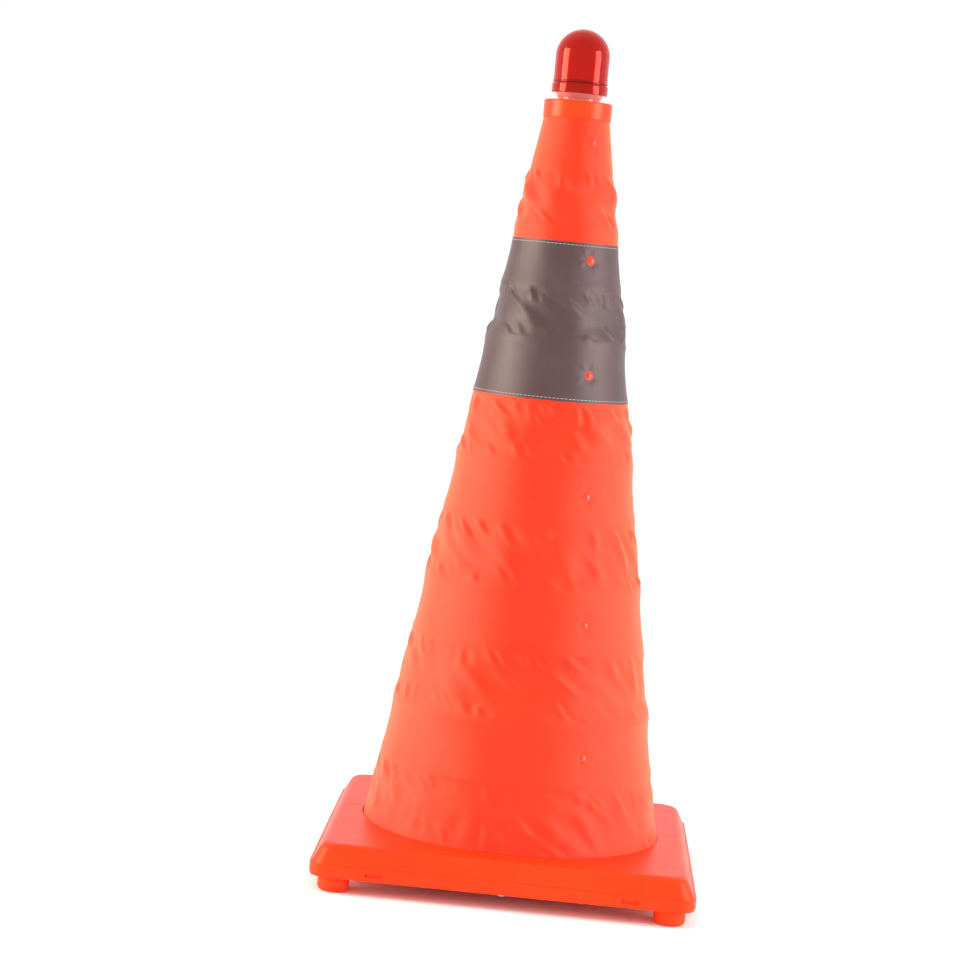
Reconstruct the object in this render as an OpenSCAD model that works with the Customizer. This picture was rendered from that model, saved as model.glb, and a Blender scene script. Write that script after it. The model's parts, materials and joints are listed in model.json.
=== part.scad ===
// Collapsible road cone with a warning lamp on top.
// Six plastic hoops are riveted inside a cloth sleeve, and a conical spring holds them up.
// Pressed down, the hoops nest inside each other in the square base.
// Origin: centre of the square on which the feet stand. +Z is up, -Y is the front.

/* [Base] */
// Side of the square tray rim
base_side = 306; // [290:1:330]
// Corner radius of the tray rim
base_corner = 14; // [8:0.5:24]
// Height of the rubber feet
foot_h = 12.7; // [9:0.1:16]
// Radius of a rubber foot
foot_r = 12.6; // [9:0.1:14]
// Distance of a foot from the centre along X and along Y
foot_offset = 133.5; // [130:0.5:134]
// Height of the joint line between tray and shell
parting_z = 23.5; // [21:0.5:26]
// Height of the shell's top face
shell_top = 39; // [36:0.5:44]
// Inward lean of the shell's side walls, at the top
shell_draft = 5; // [2:0.5:8]
// Wall of the base mouldings
base_wall = 2.4; // [1.8:0.1:3]

/* [Cone] */
// Radius of the cloth where it leaves the base
cone_foot_r = 123.4; // [122:0.1:124]
// Loss of radius for each millimetre of height
cone_taper = 0.162; // [0.155:0.001:0.165]
// Heights of the six hoops' top edges, highest first
hoop_tops = [635, 539, 447, 350, 248, 143];
// Height of one hoop
hoop_h = 51; // [40:1:56]
// Wall of a hoop between its beads
hoop_wall = 2; // [1.5:0.1:3]
// Depth of the hoop's wall under its top bead
wall_inset = 2.5; // [1:0.1:3]
// Depth of the hoop's lower bead under its top bead
low_inset = 1.2; // [0.5:0.1:2]
// Thickness of the sleeve cloth
cloth_t = 0.6; // [0.4:0.1:1]

/* [Reflective band] */
// Height of the band's lower edge
band_low = 398.5; // [397:0.5:420]
// Height of the band's upper edge
band_high = 526.6; // [515:0.1:537]
// Thickness of the band
band_t = 0.4; // [0.2:0.1:0.6]

/* [Rivets] */
// Height of the rivets above the hoop's lower edge
rivet_up = 24.5; // [15:0.5:35]
// Radius of a rivet head
rivet_head_r = 3.8; // [3:0.1:5]
// Height of a rivet head
rivet_head_h = 1.7; // [1:0.1:2.5]
// Radius of a rivet shank
rivet_shank_r = 2; // [1.5:0.1:2.5]

/* [Spring] */
// Radius of the spring wire
wire_r = 1.3; // [1:0.1:1.5]
// Turns of the cone spring
spring_turns = 9; // [7:1:11]
// Radius of the cone spring's first turn
spring_foot_r = 105.5; // [104:0.5:105.5]
// Radius of the cone spring's last turn
spring_top_r = 24.5; // [23:0.5:25]

/* [Cap and lamp] */
// Lower edge of the cap's skirt
cap_low = 626.7; // [622:0.1:630]
// Top face of the cap
cap_top = 641; // [640:0.5:642]
// Outer radius of the cap
cap_r = 28; // [27.5:0.1:30]
// Radius of the lamp's stem
stem_r = 17.2; // [16:0.1:17.2]
// Travel of the lamp when it is pressed
press_travel = 2; // [1:0.1:2]
// Lower edge of the red lens
lens_low = 647; // [646:0.1:648]
// Radius of the lens flange
lens_flange_r = 23; // [22.5:0.1:24]
// Radius of the lens dome
dome_r = 22.2; // [22:0.1:22.5]
// Height of the lamp's highest point
total_h = 700; // [695:1:705]
// Wall of the lens
lens_wall = 2; // [1.5:0.1:2.2]

/* [Hidden] */
$fn = 96;
corner_fn = 32;
eps = 0.01;
cut = 1;
seat_gap = 0.05;
body_gap = 0.3;

// Colours
orange = "#ff4a2c";
cloth_orange = "#ff5a38";
grey = "#6b5b5a";
steel = "#b8bcc0";
black = "#26262a";
brass = "#c9a64b";

// Base
tray_half = base_side / 2;
shell_half = tray_half - 1;
rim_wall = 2.6;
rim_round = 3;
shell_round = 8;
round_step = 11.25;
floor_t = 2.5;
floor_top = foot_h + floor_t;
hole_r = cone_foot_r + 0.9;
collar_t = 2;
collar_low = 30;
foot_round = 4;
screw_r = 2;
screw_hole_r = 2.2;
screw_head_r = 4;
screw_head_h = 2.6;
side_head_r = 3.4;
side_head_h = 2;
screw_tip_gap = 4;
small_screw_len = 7.5;
hem_head_r = 2.8;
hem_head_h = 1.8;
foot_recess_h = 6.2;
boss_r = 5.2;
side_boss_r = 4;
side_boss_at = 140.4;
hem_boss_r = 3.2;
hem_screw_at = 131;
hem_screw_r = 1.5;
hem_hole_r = 1.7;
hem_ring_r = cone_foot_r - 0.1;
hem_flange_r = 134.6;
hem_flange_low = 27;
hem_flange_t = 2;
window_at = 101;
window_w = 13;
window_low = 17.2;
window_h = 3;
hook_t = 1.4;
groove_y = 10;
groove_w = 0.8;
groove_d = 0.5;

hoop_low = [for (top = hoop_tops) top - hoop_h];

// Hoop section
bead_low_h = 4;
bead_top_h = 5;
bead_ramp = 1.5;
hoop_section = [
    [0, low_inset],
    [bead_low_h, low_inset],
    [bead_low_h + bead_ramp, wall_inset],
    [hoop_h - bead_top_h - bead_ramp, wall_inset],
    [hoop_h - bead_top_h, 0],
    [hoop_h, 0]
];
inner_inset = wall_inset + cloth_t + hoop_wall;
lean = atan(cone_taper);
rivet_angles = [-60, 120];
rivet_hole_r = rivet_shank_r + seat_gap;
clinch_r = 3;
clinch_h = 1.2;
fold_t = 0.8;

// Top hoop: plain wall with a spigot for the cap
spigot_r = 24.3;
spigot_bore = 22.3;
spigot_low = cap_low - 0.7;
spigot_top = 635.8;
spigot_ramp_low = 614;
spigot_ramp_high = 622;
top_inset = low_inset + cloth_t;

// Cap and cradle
cap_plate_t = 2.5;
cap_bore = stem_r + body_gap;
cap_edge = 1.2;
cup_bore = stem_r + 0.5;
cup_r = cup_bore + 1.5;
cup_floor_t = 2;
cup_low = hoop_low[0] - cup_floor_t;
cup_floor = hoop_low[0];
ring_pocket_r = 19.8;
ring_pocket_low = 633.4;
flange_low = spigot_top + 0.1;
flange_top = cap_top - cap_plate_t - 0.1;
seat_low = 598;
seat_t = 2;
seat_r = 28.2;
knob_r = 5;
knob_neck_r = 3.5;
knob_h = 4;
knob_neck_h = 4;
socket_bore = 5.4;
socket_r = 8.6;
socket_flange_r = 17;
socket_low = 6.5;
socket_floor_t = 1.5;
socket_flange_t = 2;
catch_screw_at = 13;
catch_screw_r = 1.4;
catch_hole_r = 1.5;
catch_head_r = 2.6;
catch_head_h = 1.6;

// Lamp
stem_low = 593;
stem_floor_t = 2;
stem_bore = 15.6;
collar_start = cap_top + press_travel + 0.2;
housing_r = 19.8;
housing_top = 655;
board_shelf = 649.8;
board_pocket_r = 18.2;
ring_low = 637;
ring_t = 1.2;
ring_r = 19.2;
lug_r = 21.2;
lug_low = 650;
lug_h = 2;
lug_angle = 24;
cell_r = 5.25;
cell_h = 44.5;
cell_at = 5.6;
cell_low = 596.2;
nub_r = 1.9;
nub_h = 0.9;
contact_t = 0.4;
board_t = 1.6;
board_r = 17.8;
led_r = 2.5;
led_at = 3.2;
led_h = 4.5;
dome_z = total_h - dome_r;
flange_h = 10.3;
groove_at = 9.2;
skirt_bore = housing_r + body_gap;
lug_pocket_r = lug_r + 0.4;
lug_pocket_low = lug_low - 0.4;
lug_pocket_h = lug_h + 0.8;
rib_low = 656.8;
rib_h = 1.2;
rib_bore = 18.6;
dome_step = 6;

function cone_r(z) = cone_foot_r - cone_taper * (z - shell_top);
function reversed(points) = [for (i = [len(points) - 1:-1:0]) points[i]];

// A hoop's section between two heights above its lower edge
function section_between(a, b) = concat(
    [[a, lookup(a, hoop_section)]],
    [for (p = hoop_section) if (p[0] > a && p[0] < b) p],
    [[b, lookup(b, hoop_section)]]
);

// The section as points of radius and height, proud of the hoop by the given amount
function skin(low, section, proud) = [
    for (p = section) [cone_r(low + p[0]) - p[1] - cloth_t + proud, low + p[0]]
];

// Drafted and rounded square levels: height, half side, corner radius
function shell_levels(inset) = concat(
    [[parting_z - (inset > 0 ? cut : 0), shell_half - inset, base_corner - 1]],
    [for (a = [0:round_step:90]) [
        shell_top - shell_round + shell_round * sin(a) - inset,
        shell_half - shell_draft - shell_round * (1 - cos(a)) - inset,
        base_corner - 3
    ]]
);

module rounded_block(levels) {
    hull()
        for (level = levels, x = [-1, 1], y = [-1, 1])
            translate([x * (level[1] - level[2]), y * (level[1] - level[2]), level[0]])
                cylinder(r = level[2], h = eps, $fn = corner_fn);
}

module at_corners() {
    for (x = [-1, 1], y = [-1, 1])
        translate([x * foot_offset, y * foot_offset, 0]) children();
}

module at_sides() {
    for (a = [0:90:270]) rotate(a) translate([side_boss_at, 0, 0]) children();
}

module at_hem_screws() {
    for (a = [30:60:330]) rotate(a) translate([hem_screw_at, 0, 0]) children();
}

module at_catch_screws() {
    for (a = [90:120:330]) rotate(a) translate([catch_screw_at, 0, 0]) children();
}

module at_windows() {
    for (a = [0:90:270], side = [-1, 1])
        rotate(a) translate([side * window_at, -tray_half, window_low]) children();
}

// Places its children on the sleeve at each rivet, with local +Z out of the cloth
module at_rivets(z, inset) {
    for (a = rivet_angles)
        rotate(a) translate([cone_r(z) - inset, 0, z]) rotate([0, 90 - lean, 0]) children();
}

module rivet_holes(z, inset) {
    depth = 8;
    at_rivets(z, inset) translate([0, 0, -depth / 2]) cylinder(r = rivet_hole_r, h = depth);
}

module rivet(inner_r, seat) {
    ball_r = (rivet_head_r * rivet_head_r + rivet_head_h * rivet_head_h) / (2 * rivet_head_h);
    sag = inner_r - sqrt(inner_r * inner_r - clinch_r * clinch_r);
    clinch_top = -(cloth_t + hoop_wall + sag + 2 * seat_gap);
    translate([0, 0, seat + seat_gap]) intersection() {
        translate([0, 0, rivet_head_h - ball_r]) sphere(r = ball_r);
        cylinder(r = rivet_head_r, h = rivet_head_h);
    }
    translate([0, 0, clinch_top - clinch_h])
        cylinder(r = rivet_shank_r, h = seat + 2 * seat_gap - clinch_top + clinch_h);
    translate([0, 0, clinch_top - clinch_h]) cylinder(r = clinch_r, h = clinch_h);
}

module screw(r, h, head_r, head_h) {
    slot_w = head_r * 0.35;
    difference() {
        union() {
            cylinder(r = head_r, h = head_h);
            cylinder(r = r, h = head_h + h);
        }
        for (a = [0, 90]) rotate(a)
            translate([-head_r * 0.6, -slot_w / 2, -eps]) cube([head_r * 1.2, slot_w, head_h / 2]);
    }
}

// Tube of wire along a list of points, with rings square to the path
function ring(points, i, r, sides) =
    let (
        last = len(points) - 1,
        along = points[min(i + 1, last)] - points[max(i - 1, 0)],
        t = along / norm(along),
        out = [points[i][0], points[i][1], 0] / norm([points[i][0], points[i][1]]),
        u = (out - t * (out * t)) / norm(out - t * (out * t)),
        v = cross(t, u)
    )
    [for (k = [0:sides - 1]) points[i] + r * (cos(360 * k / sides) * u + sin(360 * k / sides) * v)];

module wire(points, r, sides) {
    n = len(points);
    polyhedron(
        points = [for (i = [0:n - 1]) each ring(points, i, r, sides)],
        faces = concat(
            [[for (k = [0:sides - 1]) k]],
            [[for (k = [sides - 1:-1:0]) (n - 1) * sides + k]],
            [for (i = [0:n - 2], k = [0:sides - 1]) [
                i * sides + k,
                (i + 1) * sides + k,
                (i + 1) * sides + (k + 1) % sides,
                i * sides + (k + 1) % sides
            ]]
        )
    );
}

// Cone spring: one flat turn on the tray, then rising, then three quarters of a flat turn
flat_low = 1;
flat_top = 0.75;
spring_steps = 32;
wire_sides = 8;
spring_low = floor_top + wire_r + 0.1;
spring_high = seat_low - wire_r - 0.1;
spring_rise_r = spring_foot_r - 3.5;
function risen(turn) = min(max((turn - flat_low) / (spring_turns - flat_low - flat_top), 0), 1);
function spring_r(turn) = turn < flat_low
    ? spring_foot_r + (spring_rise_r - spring_foot_r) * turn / flat_low
    : spring_rise_r + (spring_top_r - spring_rise_r) * risen(turn);
function spring_point(turn) = [
    spring_r(turn) * cos(360 * turn),
    spring_r(turn) * sin(360 * turn),
    spring_low + (spring_high - spring_low) * risen(turn)
];

/* Base */

module rounded_outline(half, r) {
    polygon([
        for (q = [0:3], a = [0:90 / 8:90])
            [
                (half - r) * [1, -1, -1, 1][q] + r * cos(90 * q + a),
                (half - r) * [1, 1, -1, -1][q] + r * sin(90 * q + a)
            ]
    ]);
}

module base_tray() {
    inner_half = tray_half - rim_wall;
    color(orange) difference() {
        rounded_block([
            [foot_h, tray_half - rim_round, base_corner - rim_round],
            [foot_h + rim_round * 0.3, tray_half - rim_round * 0.3, base_corner - 1],
            [foot_h + rim_round, tray_half, base_corner],
            [parting_z - eps, tray_half, base_corner]
        ]);
        translate([0, 0, floor_top]) linear_extrude(parting_z - floor_top + cut)
            rounded_outline(inner_half, base_corner - rim_wall);
        at_windows() translate([-window_w / 2, -cut, 0]) cube([window_w, rim_wall + 2 * cut, window_h]);
        at_corners() translate([0, 0, foot_h - cut]) cylinder(r = screw_hole_r, h = floor_t + 2 * cut);
        at_sides() translate([0, 0, foot_h - cut]) cylinder(r = screw_hole_r, h = floor_t + 2 * cut);
        translate([0, 0, foot_h - cut]) cylinder(r = socket_r + 0.2, h = floor_t + 2 * cut);
        at_catch_screws() translate([0, 0, foot_h - cut]) cylinder(r = catch_hole_r, h = floor_t + 2 * cut);
    }
}

module shell_hook() {
    leg_w = window_w - 1;
    nub = 1.6;
    translate([-leg_w / 2, rim_wall + 0.2, 0]) cube([leg_w, hook_t, parting_z + 2.5 - window_low]);
    translate([-leg_w / 2, rim_wall + 0.2 - nub, 0.2]) cube([leg_w, nub + eps, window_h - 0.6]);
}

module screw_boss(r, hole) {
    low = floor_top + 0.1;
    translate([0, 0, low]) difference() {
        cylinder(r = r, h = shell_top - base_wall + eps - low);
        translate([0, 0, -cut]) cylinder(r = hole, h = shell_top - base_wall - low - 1);
    }
}

module base_shell() {
    color(orange) difference() {
        union() {
            difference() {
                rounded_block(shell_levels(0));
                rounded_block(shell_levels(base_wall));
            }
            translate([0, 0, collar_low]) cylinder(r = hole_r + collar_t, h = shell_top - collar_low - 1);
            at_corners() screw_boss(boss_r, screw_r + seat_gap);
            at_sides() screw_boss(side_boss_r, screw_r + seat_gap);
            at_hem_screws() translate([0, 0, hem_flange_low + hem_flange_t + 0.1]) difference() {
                cylinder(r = hem_boss_r, h = shell_top - base_wall + eps - hem_flange_low - hem_flange_t);
                translate([0, 0, -cut]) cylinder(r = hem_screw_r + seat_gap, h = small_screw_len);
            }
            at_windows() shell_hook();
        }
        translate([0, 0, collar_low - cut]) cylinder(r = hole_r, h = shell_top - collar_low + 2 * cut);
        for (side = [-1, 1])
            translate([side * (hole_r + 1) - (side < 0 ? base_side : 0), groove_y, shell_top - groove_d])
                cube([base_side, groove_w, cut]);
    }
}

module foot() {
    color(orange) difference() {
        rotate_extrude() {
            square([foot_r - foot_round, foot_h]);
            translate([0, foot_round]) square([foot_r, foot_h - foot_round - seat_gap]);
            intersection() {
                translate([foot_r - foot_round, foot_round]) circle(r = foot_round);
                square([foot_r, foot_h - cut]);
            }
        }
        translate([0, 0, -cut]) cylinder(r = screw_head_r + 0.8, h = foot_recess_h + cut);
        cylinder(r = screw_hole_r, h = foot_h + cut);
    }
}

module foot_front_left() translate([-foot_offset, -foot_offset, 0]) foot();
module foot_front_right() translate([foot_offset, -foot_offset, 0]) foot();
module foot_rear_left() translate([-foot_offset, foot_offset, 0]) foot();
module foot_rear_right() translate([foot_offset, foot_offset, 0]) foot();

module foot_screws() {
    low = foot_recess_h - screw_head_h;
    color(steel) at_corners() translate([0, 0, low - seat_gap])
        screw(screw_r, shell_top - base_wall - screw_tip_gap - foot_recess_h, screw_head_r, screw_head_h);
}

module base_screws() {
    color(steel) at_sides() translate([0, 0, foot_h - side_head_h - seat_gap])
        screw(screw_r, shell_top - base_wall - screw_tip_gap - foot_h, side_head_r, side_head_h);
}

module hem_ring() {
    ring_t = 2;
    color(black) difference() {
        union() {
            translate([0, 0, hem_flange_low]) cylinder(r = hem_ring_r, h = shell_top - 1.5 - hem_flange_low);
            translate([0, 0, hem_flange_low]) cylinder(r = hem_flange_r, h = hem_flange_t);
        }
        translate([0, 0, hem_flange_low - cut])
            cylinder(r = hem_ring_r - ring_t, h = shell_top - hem_flange_low + cut);
        at_hem_screws() translate([0, 0, hem_flange_low - cut])
            cylinder(r = hem_hole_r, h = hem_flange_t + 2 * cut);
    }
}

module hem_screws() {
    color(steel) at_hem_screws() translate([0, 0, hem_flange_low - hem_head_h - seat_gap])
        screw(hem_screw_r, small_screw_len, hem_head_r, hem_head_h);
}

module sleeve_hem() {
    color(cloth_orange) difference() {
        translate([0, 0, hem_flange_low + hem_flange_t + 0.2])
            cylinder(r = hole_r - 0.1, h = shell_top - hem_flange_low - hem_flange_t - 0.4);
        cylinder(r = hem_ring_r + 0.1, h = shell_top + cut);
    }
}

module catch_socket() {
    color(black) difference() {
        union() {
            translate([0, 0, foot_h - socket_flange_t])
                cylinder(r = socket_flange_r, h = socket_flange_t - seat_gap);
            translate([0, 0, socket_low]) cylinder(r = socket_r, h = floor_top - socket_low);
        }
        translate([0, 0, socket_low + socket_floor_t]) cylinder(r = socket_bore, h = floor_top);
        at_catch_screws() translate([0, 0, foot_h - socket_flange_t - cut])
            cylinder(r = catch_hole_r + 0.2, h = socket_flange_t + 2 * cut);
    }
}

module catch_screws() {
    length = socket_flange_t + floor_t - 0.3;
    color(steel) at_catch_screws() translate([0, 0, foot_h - socket_flange_t - catch_head_h - seat_gap])
        screw(catch_screw_r, length, catch_head_r, catch_head_h);
}

module spring_clips() {
    length = 6;
    depth = 7;
    height = 4.8;
    bore_r = wire_r + 0.6;
    bore_z = spring_low - floor_top;
    color(black) for (turn = [for (step = [4, 14, 26]) step / spring_steps])
        rotate(360 * turn) translate([spring_r(turn), 0, floor_top]) difference() {
            translate([-depth / 2, -length / 2, seat_gap]) cube([depth, length, height]);
            translate([0, 0, bore_z]) rotate([90, 0, 0])
                cylinder(r = bore_r, h = length + cut, center = true);
            translate([-bore_r, -length, -cut]) cube([2 * bore_r, 2 * length, bore_z + cut]);
        }
}

module cone_spring() {
    color(steel)
        wire([for (i = [0:spring_turns * spring_steps]) spring_point(i / spring_steps)], wire_r, wire_sides);
}

/* Hoops, rivets and sleeve */

module hoop(low) {
    color(black) difference() {
        rotate_extrude() polygon(concat(
            skin(low, hoop_section, 0),
            [
                [cone_r(low + hoop_h) - inner_inset, low + hoop_h],
                [cone_r(low) - inner_inset, low]
            ]
        ));
        rivet_holes(low + rivet_up, wall_inset);
    }
}

module sleeve_part(low) {
    color(cloth_orange) difference() {
        rotate_extrude() polygon(concat(
            skin(low, hoop_section, cloth_t),
            reversed(skin(low, hoop_section, seat_gap))
        ));
        rivet_holes(low + rivet_up, wall_inset);
    }
}

module rivets(low, inset, seat) {
    color(cloth_orange) at_rivets(low + rivet_up, inset)
        rivet(cone_r(low + rivet_up) - inset - cloth_t - hoop_wall, seat);
}

// Slack cloth between two hoops
module sleeve_fold(low, high) {
    color(cloth_orange) cone_wall(low + body_gap, high - body_gap, low_inset, fold_t);
}

module cone_wall(low, high, inset, t) {
    rotate_extrude() polygon([
        [cone_r(low) - inset, low],
        [cone_r(high) - inset, high],
        [cone_r(high) - inset - t, high],
        [cone_r(low) - inset - t, low]
    ]);
}

module hoop_1() {
    low = hoop_low[0];
    color(black) difference() {
        rotate_extrude() polygon([
            [cone_r(low) - top_inset, low],
            [cone_r(spigot_low) - top_inset, spigot_low],
            [spigot_r, spigot_low],
            [spigot_r, spigot_top],
            [spigot_bore, spigot_top],
            [spigot_bore, spigot_ramp_high],
            [cone_r(spigot_ramp_low) - top_inset - hoop_wall, spigot_ramp_low],
            [cone_r(low) - top_inset - hoop_wall, low]
        ]);
        rivet_holes(low + rivet_up, low_inset);
    }
}

module hoop_2() hoop(hoop_low[1]);
module hoop_3() hoop(hoop_low[2]);
module hoop_4() hoop(hoop_low[3]);
module hoop_5() hoop(hoop_low[4]);
module hoop_6() hoop(hoop_low[5]);

module sleeve_1() {
    low = hoop_low[0];
    color(cloth_orange) difference() {
        cone_wall(low, spigot_low, low_inset, cloth_t - seat_gap);
        rivet_holes(low + rivet_up, low_inset);
    }
}

module sleeve_2() sleeve_part(hoop_low[1]);
module sleeve_3() sleeve_part(hoop_low[2]);
module sleeve_4() sleeve_part(hoop_low[3]);
module sleeve_5() sleeve_part(hoop_low[4]);
module sleeve_6() sleeve_part(hoop_low[5]);

module rivets_1() rivets(hoop_low[0], low_inset, 0);
module rivets_2() rivets(hoop_low[1], wall_inset, band_t + seat_gap);
module rivets_3() rivets(hoop_low[2], wall_inset, band_t + seat_gap);
module rivets_4() rivets(hoop_low[3], wall_inset, 0);
module rivets_5() rivets(hoop_low[4], wall_inset, 0);
module rivets_6() rivets(hoop_low[5], wall_inset, 0);

module fold_1() sleeve_fold(hoop_tops[1], hoop_low[0]);
module fold_2() sleeve_fold(hoop_tops[2], hoop_low[1]);
module fold_3() sleeve_fold(hoop_tops[3], hoop_low[2]);
module fold_4() sleeve_fold(hoop_tops[4], hoop_low[3]);
module fold_5() sleeve_fold(hoop_tops[5], hoop_low[4]);
module fold_6() sleeve_fold(shell_top, hoop_low[5]);

/* Reflective band, in three parts like the cloth under it */

module band_on_hoop(low, a, b) {
    section = section_between(a, b);
    color(grey) difference() {
        rotate_extrude() polygon(concat(
            skin(low, section, cloth_t + band_t),
            reversed(skin(low, section, cloth_t + seat_gap))
        ));
        rivet_holes(low + rivet_up, wall_inset);
    }
}

module band_upper() band_on_hoop(hoop_low[1], 0, band_high - hoop_low[1]);
module band_lower() band_on_hoop(hoop_low[2], band_low - hoop_low[2], hoop_h);
module band_fold() {
    color(grey)
        cone_wall(hoop_tops[2] + body_gap, hoop_low[1] - body_gap, low_inset - band_t - seat_gap, band_t);
}

/* Cap and lamp */

module cap() {
    skirt_bore = spigot_r + seat_gap;
    color(orange) rotate_extrude() polygon([
        [cap_r - 0.5, cap_low],
        [cap_r, cap_low + 0.5],
        [cap_r, cap_top - cap_edge],
        [cap_r - cap_edge * 0.3, cap_top - cap_edge * 0.3],
        [cap_r - cap_edge, cap_top],
        [cap_bore, cap_top],
        [cap_bore, cap_top - cap_plate_t],
        [skirt_bore, cap_top - cap_plate_t],
        [skirt_bore, cap_low]
    ]);
}

module lamp_cradle() {
    color(black) rotate_extrude() polygon([
        [0, cup_low - knob_neck_h - knob_h],
        [knob_r - 1.5, cup_low - knob_neck_h - knob_h],
        [knob_r, cup_low - knob_neck_h - knob_h + 1.5],
        [knob_r, cup_low - knob_neck_h - 1],
        [knob_neck_r, cup_low - knob_neck_h],
        [knob_neck_r, cup_low],
        [cup_r, cup_low],
        [cup_r, seat_low],
        [seat_r, seat_low],
        [seat_r, seat_low + seat_t],
        [cup_r, seat_low + seat_t],
        [cup_r, ring_pocket_low - 3],
        [ring_pocket_r + 1.5, ring_pocket_low - 1],
        [ring_pocket_r + 1.5, flange_low],
        [spigot_r - seat_gap, flange_low],
        [spigot_r - seat_gap, flange_top],
        [ring_pocket_r, flange_top],
        [ring_pocket_r, ring_pocket_low],
        [cup_bore, ring_pocket_low],
        [cup_bore, cup_floor],
        [0, cup_floor]
    ]);
}

module push_switch() {
    side = 10;
    height = 4;
    plunger_r = 2;
    plunger_top = stem_low - press_travel - body_gap;
    color(black) translate([-side / 2, -side / 2, cup_floor + seat_gap]) cube([side, side, height]);
    color("white") translate([0, 0, cup_floor + height])
        cylinder(r = plunger_r, h = plunger_top - cup_floor - height);
}

module return_spring() {
    turns = 3;
    steps = 20;
    coil_r = 12;
    wire_radius = 0.5;
    low = cup_floor + wire_radius + 0.1;
    high = stem_low - wire_radius - body_gap;
    color(steel) wire(
        [for (i = [0:turns * steps]) [
            coil_r * cos(360 * i / steps),
            coil_r * sin(360 * i / steps),
            low + (high - low) * i / (turns * steps)
        ]],
        wire_radius, 6
    );
}

module lamp_housing() {
    color("#ffc9bd", 0.6) {
        rotate_extrude() polygon([
            [0, stem_low],
            [stem_r, stem_low],
            [stem_r, ring_low - 0.1],
            [stem_r - 0.8, ring_low - 0.1],
            [stem_r - 0.8, ring_low + ring_t + 0.1],
            [stem_r, ring_low + ring_t + 0.1],
            [stem_r, collar_start],
            [stem_r + 0.7, collar_start],
            [housing_r - 0.4, lens_low],
            [housing_r, lens_low],
            [housing_r, housing_top],
            [board_pocket_r, housing_top],
            [board_pocket_r, board_shelf],
            [stem_bore, board_shelf],
            [stem_bore, stem_low + stem_floor_t],
            [0, stem_low + stem_floor_t]
        ]);
        for (side = [0, 180]) rotate(side - lug_angle / 2) translate([0, 0, lug_low])
            rotate_extrude(angle = lug_angle)
                translate([housing_r - 0.5, 0]) square([lug_r - housing_r + 0.5, lug_h]);
    }
}

module retaining_ring() {
    color(steel) translate([0, 0, ring_low]) difference() {
        cylinder(r = ring_r, h = ring_t);
        translate([0, 0, -cut]) cylinder(r = stem_r - 0.7, h = ring_t + 2 * cut);
        translate([-2, 0, -cut]) cube([4, ring_r + cut, ring_t + 2 * cut]);
    }
}

module battery_holder() {
    low = stem_low + stem_floor_t + seat_gap;
    height = cell_h + 3.5;
    end_wall = 0.6;
    color("#ead2cc") difference() {
        translate([0, 0, low]) cylinder(r = stem_bore - 0.3, h = height);
        for (side = [-1, 1]) translate([side * cell_at, 0, low + end_wall])
            cylinder(r = cell_r + 0.2, h = height);
    }
}

module battery_cells() {
    color(brass) for (side = [-1, 1]) translate([side * cell_at, 0, cell_low]) {
        cylinder(r = cell_r, h = cell_h - nub_h);
        cylinder(r = nub_r, h = cell_h);
    }
}

module battery_contacts() {
    strip = [18, 5];
    button_r = 1.6;
    button_h = 3.2;
    color(steel) translate([0, 0, cell_low + cell_h]) {
        translate([-strip[0] / 2, -strip[1] / 2, button_h]) cube([strip[0], strip[1], contact_t]);
        for (side = [-1, 1]) translate([side * cell_at, 0, 0.1]) cylinder(r = button_r, h = button_h);
    }
}

module circuit_board() {
    color("#1f6b3a") translate([0, 0, board_shelf + seat_gap]) cylinder(r = board_r, h = board_t);
}

module leds() {
    color("#fff0e8", 0.8) for (a = [0:120:240]) rotate(a)
        translate([led_at, 0, board_shelf + board_t + 2 * seat_gap]) {
            cylinder(r = led_r, h = led_h);
            translate([0, 0, led_h]) sphere(r = led_r);
        }
}

module reflector() {
    low = board_shelf + board_t + 0.2;
    inner_r = 6.2;
    outer_r = 17.6;
    height = 6.2;
    color("silver") rotate_extrude() polygon([
        [inner_r, low],
        [inner_r + 1, low],
        [outer_r, low + height - 1],
        [outer_r, low + height],
        [outer_r - 0.8, low + height],
        [inner_r, low + 0.9]
    ]);
}

module lens_seal() {
    cord_r = 0.6;
    color(black) translate([0, 0, housing_top + cord_r]) rotate_extrude()
        translate([housing_r - 0.8, 0]) circle(r = cord_r, $fn = 24);
}

// Points of the dome from its side to its crown
function dome_arc(r) = [for (a = [0:dome_step:90]) [r * cos(a), dome_z + r * sin(a)]];

module lens() {
    inner_r = dome_r - lens_wall;
    notch_w = 2.4;
    entry_angle = lug_angle + 8;
    color("#d42610", 0.85) difference() {
        rotate_extrude() polygon(concat(
            [
                [skirt_bore, lens_low],
                [lens_flange_r - 0.4, lens_low],
                [lens_flange_r, lens_low + 0.4],
                [lens_flange_r, lens_low + groove_at - 0.5],
                [lens_flange_r - 0.5, lens_low + groove_at],
                [dome_r - 0.5, lens_low + groove_at],
                [dome_r - 0.5, lens_low + flange_h - 0.3],
                [dome_r, lens_low + flange_h]
            ],
            dome_arc(dome_r),
            reversed(dome_arc(inner_r)),
            [
                [inner_r, rib_low + rib_h],
                [rib_bore, rib_low + rib_h],
                [rib_bore, rib_low],
                [skirt_bore, rib_low],
                [skirt_bore, lug_pocket_low + lug_pocket_h],
                [lug_pocket_r, lug_pocket_low + lug_pocket_h],
                [lug_pocket_r, lug_pocket_low],
                [skirt_bore, lug_pocket_low]
            ]
        ));
        for (side = [0, 180]) rotate(side - 30 - entry_angle / 2) translate([0, 0, lens_low - cut])
            rotate_extrude(angle = entry_angle)
                translate([skirt_bore - 1, 0])
                    square([lug_pocket_r - skirt_bore + 0.9, lug_pocket_low - lens_low + 1.5 * cut]);
        translate([-notch_w / 2, -lens_flange_r - 1, lens_low + 4]) cube([notch_w, 1.8, 3]);
    }
}

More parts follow.
